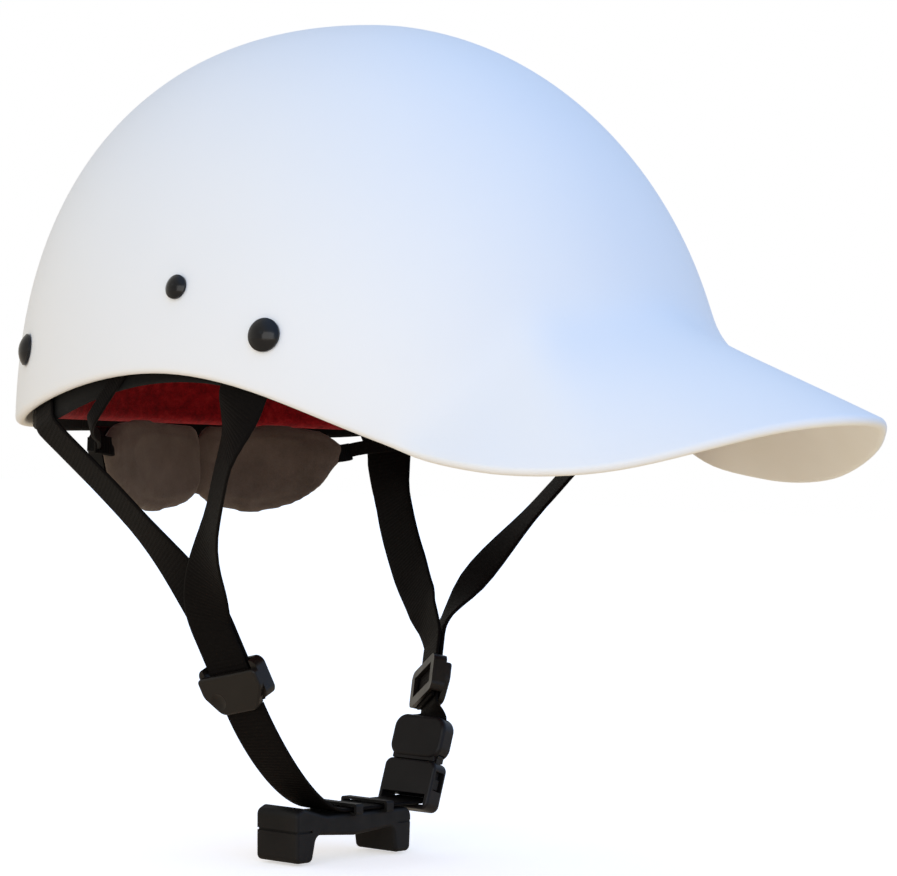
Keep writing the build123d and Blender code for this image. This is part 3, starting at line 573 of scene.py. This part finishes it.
class Guide:
    """Place and directions of one strap guide, given on the left side."""

    def __init__(self, z, twist):
        c, n = math.cos(math.radians(twist)), math.sin(math.radians(twist))
        hint = V3(0.975 * c - 0.01 * n, 0.975 * n + 0.01 * c, 0.22)
        self.at = V3(GUIDE_X, GUIDE_Y, z)
        self.across = unit(hint - GUIDE_DOWN * hint.dot(GUIDE_DOWN))
        self.out = unit(np.cross(self.across, GUIDE_DOWN))
        if self.out[1] < 0:
            self.out = -self.out

    def place(self, along, out=0.0):
        """Point a way down the guide and a way out of its plane."""
        return self.at + GUIDE_DOWN * along + self.out * out


LEFT, RIGHT = Guide(LEFT_GUIDE_Z, LEFT_GUIDE_TWIST), Guide(RIGHT_GUIDE_Z, 0.0)


def bezier(p0, p1, p2, p3, n):
    """n points of a cubic."""
    t = np.linspace(0, 1, n)[:, None]
    u = 1 - t
    return p0 * u ** 3 + p1 * 3 * u * u * t + p2 * 3 * u * t * t + p3 * t ** 3


def blend_dir(a, b, t):
    """Direction between two, eased at both ends."""
    t = t * t * (3 - 2 * t)
    return unit(a * (1 - t) + b * t)


def widths(pts, nor):
    """Width directions, towards the front, of a strap that lies flat on a surface."""
    across = []
    for i in range(len(pts)):
        tan = unit(pts[min(i + 1, len(pts) - 1)] - pts[max(i - 1, 0)])
        w = unit(np.cross(nor[i], tan))
        across.append(w if w[0] > 0 else -w)
    return across


def harness_line(guide, start, leave, layer, end_along, pull, before, turns, lean=0.0, fall=0.0):
    """Middle line and width directions of a strap from its rivet, under the rim, to its guide."""
    n = 15
    t = (1 + before) * np.arange(n) / (n - 1) - before
    deg = start[0] + (leave[0] - start[0]) * t
    z = start[1] + (leave[1] - start[1]) * (0.45 * t + 0.55 * t * np.abs(t))
    s = station(deg, z)
    pts = list(skin(deg, s, np.full(n, WEB_LAY), False))
    across = widths(pts, normal(deg, s, False))
    way = unit(pts[-1] - pts[-2])
    flat = pull[2]
    top = guide.place(-flat, layer)
    first = pts[-1] + way * pull[0] + FALL_WAY * fall
    free = bezier(pts[-1], first, top - GUIDE_DOWN * pull[1], top, 22)
    keys = ((0.0, across[-1]),) + turns + ((TURN_END, guide.across), (1.01, guide.across))
    for i in range(1, 22):
        t = i / 21
        pts.append(free[i] + guide.out * (lean * 16 * (t * (1 - t)) ** 2))
        k = max(j for j in range(len(keys)) if keys[j][0] <= t)
        share = (t - keys[k][0]) / (keys[k + 1][0] - keys[k][0])
        across.append(blend_dir(keys[k][1], keys[k + 1][1], share))
    for i in range(1, 9):
        pts.append(guide.place(-flat + (end_along + flat) * i / 8, layer))
        across.append(guide.across)
    return np.array(pts), np.array(across)


def resample(pts, across, step):
    """Smooth line through the points, evenly spaced."""
    d = np.concatenate([[0], np.cumsum(np.linalg.norm(np.diff(pts, axis=0), axis=1))])
    n = max(8, int(round(d[-1] / step)))
    x = np.linspace(0, d[-1], n + 1)
    tang = np.gradient(pts, d, axis=0, edge_order=2)
    i = np.clip(np.searchsorted(d, x, side="right") - 1, 0, len(d) - 2)
    h = (d[i + 1] - d[i])[:, None]
    t = ((x - d[i])[:, None]) / h
    p = (1 + 2 * t) * (1 - t) ** 2 * pts[i] + t * (1 - t) ** 2 * h * tang[i] \
        + t * t * (3 - 2 * t) * pts[i + 1] + t * t * (t - 1) * h * tang[i + 1]
    w = across[i] * (1 - t) + across[i + 1] * t
    return p, w / np.linalg.norm(w, axis=1, keepdims=True), x


NARROW_WEAVE = {"pitch": 1.2, "amp": 0.1}


def web_piece(name, node, pts, across, width, thick, mirror, body="helmet", pitch=1.55, amp=0.13):
    """Woven webbing with raised cross ribs between plain selvedges."""
    p, w, s = resample(np.asarray(pts), np.asarray(across), pitch / 6)
    t = np.gradient(p, axis=0)
    t /= np.linalg.norm(t, axis=1, keepdims=True)
    w = w - t * (w * t).sum(1, keepdims=True)
    w /= np.linalg.norm(w, axis=1, keepdims=True)
    m = np.cross(t, w)
    side = np.array([0.15, 0.3, 0.42, 0.435, 0.46, 0.488, 0.5])
    c = np.concatenate([-side[::-1], [0.0], side])      # shares of the width, edge to edge
    half = thick / 2
    rib = np.abs(np.sin(math.pi * s / pitch)) ** 0.8
    far = np.abs(c)[None]
    body_h = (half - amp) + amp * rib[:, None] * (far < 0.43)
    body_h = np.where(far >= 0.43, half - amp * 0.5, body_h)         # selvedge
    body_h = np.where(far >= 0.485, half * 0.62, body_h)             # its rounded edge
    body_h = np.where(far >= 0.495, 0.0, body_h)
    top = p[:, None] + w[:, None] * (width * c)[None, :, None] + m[:, None] * body_h[..., None]
    inner = c[1:-1][::-1]
    hb = body_h[:, 1:-1][:, ::-1]
    low = p[:, None] + w[:, None] * (width * inner)[None, :, None] - m[:, None] * hb[..., None]
    ring = np.concatenate([top, low], 1)
    nr = ring.shape[1]
    flat = ring.reshape(-1, 3).copy()
    uv = np.stack([np.repeat(np.concatenate([c, inner])[None] * width, len(p), 0).ravel(),
                   np.repeat(s[:, None], nr, 1).ravel()], 1)
    if mirror:
        flat[:, 1] *= -1
    faces = grid_faces(len(p), nr, wrap_v=True)
    faces.append(tuple(range(nr)))
    faces.append(tuple((len(p) - 1) * nr + k for k in range(nr))[::-1])
    ob = make(name, flat, faces, uv=uv, mat=MAT["web"], body=body,
              instead=(node,) if node else ())
    fix_normals(ob)


build_shell()


def level(z):
    """The same height at every plan angle."""
    return lambda a: np.full_like(a, z)


FOAM_DEPTHS = (FOAM_OUT, FOAM_IN)
pad_piece("foam_front", "front_pad", -46, 46, level(34.0), level(FOAM_TOP_Z), *FOAM_DEPTHS, 61, 31,
          MAT["foam"], "foam_red")
for side, sg in (("left", 1), ("right", -1)):
    pad_piece("foam_side_" + side, side + "_side_pad", sg * 50, sg * 128, lambda a: edge_z(a) + 6.0,
              level(FOAM_TOP_Z), *FOAM_DEPTHS, 61, 31, MAT["foam"], "foam_red")
pad_piece("foam_rear", "rear_pad", 132, 228, level(3.0), level(FOAM_TOP_Z), *FOAM_DEPTHS, 71, 35,
          MAT["foam"], "foam_red")
pad_piece("foam_crown", "crown_pad", 0, 360, level(CROWN_PAD_Z), level(CROWN_Z - 0.01), *FOAM_DEPTHS, 91, 25,
          MAT["foam"], "foam_red")
pad_piece("brow_band", "sweatband", -44, 44, level(36.0), level(58.0), SWEAT_OUT, SWEAT_IN, 61, 11,
          MAT["band"], "band_black", edge=2.0)
pad_piece("edge_band", "rim_band", 52, 308, lambda a: edge_z(a) - drop_c(fold(a)),
          lambda a: edge_z(a) + BAND_RISE, BAND_OUT, BAND_IN, 200, 15, MAT["band"], "band_black",
          edge=1.0, padded=False)

# Piece, the node it stands for, whether it is mirrored to the right, and its harness_line.
HARNESS = (
    ("rear_web_left", "left_rear_strap", False,
     (LEFT, REAR_RIVET, (125.5, -3.5), -LAYER, 8.0, (9.0, 10.0, 17.0), 0.2, LEFT_REAR_TURNS, 0.0, 34.0)),
    ("front_web_left", "left_front_strap", False,
     (LEFT, FRONT_RIVET, (74.5, 12.0), LAYER, 0.0, (14.0, 20.0, 18.0), 0.6, LEFT_FRONT_TURNS)),
    ("rear_web_right", "right_rear_strap", True,
     (RIGHT, REAR_RIVET, (128.5, 1.5), -LAYER, 8.0, (6.0, 16.0, 22.0), 0.2, RIGHT_REAR_TURNS, -3.1)),
    ("front_web_right", "right_front_strap", True,
     (RIGHT, FRONT_RIVET, (74.5, 12.0), LAYER, SWING_ALONG - 0.15, (10.0, 16.0, 22.0), 0.6,
      RIGHT_FRONT_TURNS, 1.4)),
)
for piece, node, mirrored, how in HARNESS:
    web_piece(piece, node, *harness_line(*how), WEB_W, WEB_T, mirrored)

SWING_AT = RIGHT.place(SWING_ALONG, LAYER) * V3(1, -1, 1)
BUCKLE_MID = V3(-10.0, 45.0, -128.0)
ARM = BUCKLE_MID - SWING_AT
BUCKLE_DOWN = unit(V3(0, ARM[2], -ARM[1]))
PARTING = BUCKLE_MID - BUCKLE_DOWN * 5.0
CUP_START = V3(-10.0, -6.0, -137.5)     # where the chin strap comes level at the cup
CUP_RUN = 55.0
LEVEL_ACROSS = V3(1, 0, 0)


def buckle_line():
    """Short webbing through the left guide and down into the tongue's pocket."""
    pts = [LEFT.place(0.4 + 9.2 * i / 6, LAYER) for i in range(7)]
    pocket = PARTING - BUCKLE_DOWN * 17.5
    into = bezier(pts[-1], pts[-1] + GUIDE_DOWN * 2.2, pocket - BUCKLE_DOWN, pocket + BUCKLE_DOWN, 8)
    pts += list(into[1:]) + [pocket + BUCKLE_DOWN * (1.0 + 1.5 * i) for i in range(1, 6)]
    across = [blend_dir(LEFT.across, LEVEL_ACROSS, min(1.0, max(0.0, (i - 6) / 6)))
              for i in range(len(pts))]
    return pts, across


def chin_line():
    """Webbing from the right guide, along the chin cup and through the socket's slot."""
    flip = V3(1, -1, 1)
    down, first = GUIDE_DOWN * flip, RIGHT.across * flip
    begin = SWING_AT + down * 0.15
    pts = list(bezier(begin, begin + down * 18.0, CUP_START - V3(0, 16.0, 0), CUP_START, 22))
    across = [blend_dir(first, LEVEL_ACROSS, i / 21) for i in range(22)]
    pts += [CUP_START + V3(0, CUP_RUN * i / 11, 0) for i in range(1, 12)]
    across += [LEVEL_ACROSS] * 11
    return pts, across


def pad_strap_line():
    """Narrow webbing from the pad rivet, under the rim, to the end of the nape pad."""
    t = 1.16 * np.arange(12) / 11 - 0.16
    deg = PAD_RIVET[0] + (110.0 - PAD_RIVET[0]) * t
    z = PAD_RIVET[1] + (4.0 - PAD_RIVET[1]) * t
    s = station(deg, z)
    pts = list(skin(deg, s, np.full(12, WEB_LAY - 0.1), False))
    across = widths(pts, normal(deg, s, False))
    way = unit(pts[-1] - pts[-2])
    nape_end = V3(NAPE_X + NAPE_BOW - 3.0, NAPE_HALF + 4.2, -6.0)
    end_way = unit(V3(-0.80, -0.45, -0.40))
    free = bezier(pts[-1], pts[-1] + way * 9.0, nape_end - end_way * 12.0, nape_end, 14)
    w0, w1 = across[-1], V3(0.25, 0.12, -0.95)
    if w0.dot(w1) < 0:
        w1 = -w1
    for i in range(1, 14):
        pts.append(free[i])
        across.append(blend_dir(w0, w1, min(1.0, i / 6)))
    return pts, across


web_piece("buckle_web", "left_buckle_strap", *buckle_line(), WEB_W, WEB_T, False)
web_piece("chin_web", "chin_strap", *chin_line(), WEB_W, WEB_T, False, body="chin_harness")
for piece, node, mirrored in (("nape_web_left", "left_pad_strap", False),
                              ("nape_web_right", "right_pad_strap", True)):
    web_piece(piece, node, *pad_strap_line(), PAD_WEB_W, PAD_WEB_T, mirrored, **NARROW_WEAVE)

# Sewn tab at each end of the nape pad, folded round the end of its strap.
tab = bezier(V3(-70.8, 64.6, -6.8), V3(-70.3, 67.0, -6.5), V3(-70.6, 70.0, -6.2), V3(-71.3, 72.6, -5.9), 16)
for piece, mirrored in (("nape_tab_left", False), ("nape_tab_right", True)):
    web_piece(piece, None, tab, [V3(0.20, 0.12, -0.95)] * 16, 7.0, 2.4, mirrored, body="nape",
              **NARROW_WEAVE)


# ---------------------------------------------------------------- nape pad
def puff(verts, faces, voxel, pressure, cap, frames=20):
    """Blow a closed cover up a little, as its filling does, and give back the shape it settles in."""
    scene = bpy.context.scene
    me = bpy.data.meshes.new("cover")
    me.from_pydata([tuple(v) for v in np.asarray(verts) * MM], [], faces)
    ob = bpy.data.objects.new("cover", me)
    scene.collection.objects.link(ob)
    mod = ob.modifiers.new("remesh", "REMESH")
    mod.mode = "VOXEL"
    mod.voxel_size = voxel * MM
    deps = bpy.context.evaluated_depsgraph_get()
    even = bpy.data.meshes.new_from_object(ob.evaluated_get(deps))
    ob.modifiers.clear()
    ob.data = even
    n = len(even.vertices)
    rest = np.zeros(n * 3)
    even.vertices.foreach_get("co", rest)
    rest = rest.reshape(-1, 3)
    cloth = ob.modifiers.new("cloth", "CLOTH")
    st = cloth.settings
    st.quality = 6
    st.mass = 0.3
    st.tension_stiffness = st.compression_stiffness = 20.0
    st.bending_stiffness = 0.6
    st.use_pressure = True
    st.uniform_pressure_force = pressure
    st.effector_weights.gravity = 0.0
    cloth.point_cache.frame_start = 1
    cloth.point_cache.frame_end = frames
    for f in range(1, frames + 1):
        scene.frame_set(f)
    deps = bpy.context.evaluated_depsgraph_get()
    live = ob.evaluated_get(deps).to_mesh()
    now = np.zeros(n * 3)
    live.vertices.foreach_get("co", now)
    now = now.reshape(-1, 3)
    move = now - rest
    size = np.linalg.norm(move, axis=1, keepdims=True)
    move *= np.minimum(1.0, cap * MM / np.maximum(size, 1e-9))
    move[:, 1:] *= 0.2        # the sewn edge keeps the outline, so the cover swells through its thickness
    ob.evaluated_get(deps).to_mesh_clear()
    ob.modifiers.clear()
    pairs = np.zeros(len(even.edges) * 2, dtype=int)
    even.edges.foreach_get("vertices", pairs)
    pairs = pairs.reshape(-1, 2)
    near = np.bincount(pairs.ravel(), minlength=n)[:, None]
    smooth = rest + move
    for k in range(24):
        total = np.zeros_like(smooth)
        np.add.at(total, pairs[:, 0], smooth[pairs[:, 1]])
        np.add.at(total, pairs[:, 1], smooth[pairs[:, 0]])
        smooth = smooth + (0.5, -0.515)[k % 2] * (total / near - smooth)
    even.vertices.foreach_set("co", smooth.ravel())
    sub = ob.modifiers.new("sub", "SUBSURF")
    sub.levels = sub.render_levels = 1
    deps = bpy.context.evaluated_depsgraph_get()
    fine = bpy.data.meshes.new_from_object(ob.evaluated_get(deps))
    out = np.zeros(len(fine.vertices) * 3)
    fine.vertices.foreach_get("co", out)
    polys = [tuple(f.vertices) for f in fine.polygons]
    scene.frame_set(1)
    bpy.data.objects.remove(ob)
    for m in (me, even, fine):
        bpy.data.meshes.remove(m)
    return out.reshape(-1, 3) / MM, polys


def nape_frame(Y):
    """Middle surface of the nape pad and the direction towards its back."""
    X = NAPE_X + NAPE_BOW * (Y / NAPE_HALF) ** 2
    lean = 2 * NAPE_BOW * Y / NAPE_HALF ** 2
    back = np.stack([-np.ones_like(Y), lean, np.zeros_like(Y)], -1)
    return X, back / np.linalg.norm(back, axis=-1, keepdims=True)


def nape_limits(y):
    """Upper and lower edge of the nape pad, notched between its lobes."""
    hi = top_c(np.abs(y)) - 5.0 * np.exp(-(y / 2.4) ** 2) + 0.3
    lo = low_c(np.abs(y)) + 2.5 * np.exp(-(y / 4.5) ** 2) - 0.5
    return hi, lo


def build_nape():
    """Two-lobed fleece pad, puffed by its filling and sewn down between the lobes."""
    ny, nz = 135, 41
    y = np.linspace(-NAPE_HALF + 0.5, NAPE_HALF - 0.5, ny)
    hi, lo = nape_limits(y)
    w = np.linspace(0, 1, nz)
    Z = hi[:, None] + (lo - hi)[:, None] * w[None]
    Y = np.repeat(y[:, None], nz, 1)
    X, back = nape_frame(Y)
    d = np.minimum.reduce([Z - lo[:, None], hi[:, None] - Z, (NAPE_HALF - np.abs(Y)) * 0.9])
    swell = np.sqrt(np.clip(1 - (1 - np.clip(d / 8.0, 0, 1)) ** 2, 0, 1))
    half = NAPE_T / 2 * (0.34 + 0.44 * swell)
    P = np.stack([X, Y, Z], -1)
    depth = back * half[..., None]
    V = np.concatenate([(P - depth).reshape(-1, 3), (P + depth).reshape(-1, 3)])
    faces = closed_sheet(ny, nz)
    V, faces = puff(V, faces, 1.8, 4.0, 5.0)
    # Sewn valley between the lobes, and a soft quilting line inside the edge of each lobe.
    X, back = nape_frame(V[:, 1])
    mid = np.stack([X, V[:, 1], V[:, 2]], -1)
    off = ((V - mid) * back).sum(1)
    hi, lo = nape_limits(V[:, 1])
    edge = np.minimum.reduce([V[:, 2] - lo, hi - V[:, 2], (NAPE_HALF - np.abs(V[:, 1])) * 0.9])
    valley = 0.72 * np.exp(-(V[:, 1] / 2.2) ** 2)
    stitch = 0.10 * np.exp(-((edge - 4.0) / 0.9) ** 2)
    keep = np.clip(1 - np.maximum(valley, stitch), 0.1, 1)
    off = np.clip(off * keep, -NAPE_T / 2, NAPE_T / 2)
    V = mid + back * off[:, None]
    ob = make("nape_cushion", V, faces, mat=MAT["nape"], body="nape",
              instead=("nape_pad",))
    fix_normals(ob)


build_nape()

for node in ("strap_rivets", "pad_rivets"):
    paint(node, MAT["rivet"])
for node in ("strap_rivet_washers", "pad_rivet_washers"):
    paint(node, MAT["steel"])
for node in ("left_strap_guide", "right_strap_guide"):
    paint(node, MAT["guide"])
for node in ("buckle_tongue", "buckle_socket", "buckle_prong_front", "buckle_prong_rear"):
    paint(node, MAT["buckle"])
paint("chin_cup", MAT["cup"])
paint("hook_discs", MAT["hook"])
paint("nape_backing", MAT["backing"])


# ---------------------------------------------------------------- stage
# Studio light by direction: warm and even from below and behind, blue from above and ahead.
SKY_WAY = (0.60, 0.20, 0.77)
SKY = ((0.0, (0.90, 0.83, 0.70)), (0.40, (0.61, 0.59, 0.545)), (0.60, (0.67, 0.67, 0.65)),
       (0.76, (0.58, 0.735, 0.98)), (1.0, (0.37, 0.63, 1.16)))
FLOOR_HALF = 6.0
KEY_AT, KEY_AIM = (0.9, -2.1, 0.0), (0.03, 0.0, 0.0)
KEY_SIZE, KEY_POWER, KEY_COLOUR = 2.2, 30.0, (1.0, 0.985, 0.96)
CAM_AZIMUTH, CAM_HEIGHT, CAM_ROLL = 37.82, -0.08, 2.1       # degrees
CAM_AIM, CAM_DISTANCE, CAM_LENS = (0.0355, 0.0, 0.001), 1.15, 127.07


def stage():
    """Floor that looks plain white to the camera but to every other ray is warm and faintly glowing, a
    painted warm bounce light under the helmet; the studio light and one large soft key.
    """
    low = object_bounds()[0][2]
    me = bpy.data.meshes.new("floor")
    r, z = FLOOR_HALF, low - MM
    me.from_pydata([(-r, -r, z), (r, -r, z), (r, r, z), (-r, r, z)], [], [(0, 1, 2, 3)])
    floor = bpy.data.objects.new("floor", me)
    bpy.context.scene.collection.objects.link(floor)
    m, nt, b = nodes_of("floor_mat")
    # Painted warm bounce light: the camera sees a plain white floor, every other ray sees a warm floor colour
    # that lights the helmet's underside from below.
    seen = nt.nodes.new("ShaderNodeLightPath").outputs["Is Camera Ray"]
    nt.links.new(mix(nt, seen, (0.98, 0.70, 0.42), (0.95, 0.95, 0.95)), b.inputs["Base Color"])
    b.inputs["Roughness"].default_value = 0.9
    b.inputs["Specular IOR Level"].default_value = 0.0
    # Painted warm fill: the glow is strong to the camera, which keeps the floor plain white, and faint and
    # warm to other rays, lighting the helmet from below.
    b.inputs["Emission Color"].default_value = (1.0, 0.97, 0.94, 1)
    glow = math_node(nt, "MULTIPLY_ADD", seen, 0.40)
    glow.node.inputs[2].default_value = 0.15
    nt.links.new(glow, b.inputs["Emission Strength"])
    me.materials.append(m)
    floor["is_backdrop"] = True
    world = bpy.data.worlds.new("studio")
    world.use_nodes = True
    nt = world.node_tree
    bg = nt.nodes["Background"]
    tc = nt.nodes.new("ShaderNodeTexCoord")
    dot = nt.nodes.new("ShaderNodeVectorMath")
    dot.operation = "DOT_PRODUCT"
    dot.inputs[1].default_value = SKY_WAY
    nt.links.new(tc.outputs["Generated"], dot.inputs[0])
    side = math_node(nt, "MULTIPLY_ADD", dot.outputs["Value"], 0.5)
    side.node.inputs[2].default_value = 0.5
    sky = ramp(nt, side, SKY)
    lp = nt.nodes.new("ShaderNodeLightPath")
    nt.links.new(mix(nt, lp.outputs["Is Camera Ray"], sky, (1.0, 1.0, 1.0)), bg.inputs["Color"])
    bg.inputs["Strength"].default_value = 1.0
    bpy.context.scene.world = world
    key = bpy.data.lights.new("key", "AREA")
    key.size = KEY_SIZE
    key.energy = KEY_POWER
    key.color = KEY_COLOUR
    lamp = bpy.data.objects.new("key", key)
    bpy.context.scene.collection.objects.link(lamp)
    lamp.location = KEY_AT
    lamp.visible_camera = False
    lamp.rotation_euler = (Vector(KEY_AIM) - Vector(KEY_AT)).to_track_quat("-Z", "Y").to_euler()
    bpy.context.scene.view_settings.view_transform = "Standard"


def camera():
    """Level three-quarter view from the front right, a little rolled."""
    az, el, roll = (math.radians(v) for v in (CAM_AZIMUTH, CAM_HEIGHT, CAM_ROLL))
    back = Vector((math.sin(az) * math.cos(el), -math.cos(az) * math.cos(el), math.sin(el)))
    cam = bpy.data.cameras.new("camera")
    cam.sensor_width = 36.0
    cam.lens = CAM_LENS
    cam.clip_start = 0.05
    ob = bpy.data.objects.new("camera", cam)
    bpy.context.scene.collection.objects.link(ob)
    ob.location = Vector(CAM_AIM) + back * CAM_DISTANCE
    ob.rotation_mode = "QUATERNION"
    ob.rotation_quaternion = (-back).to_track_quat("-Z", "Y") @ Quaternion((0, 0, 1), roll)
    bpy.context.scene.camera = ob


stage()
camera()
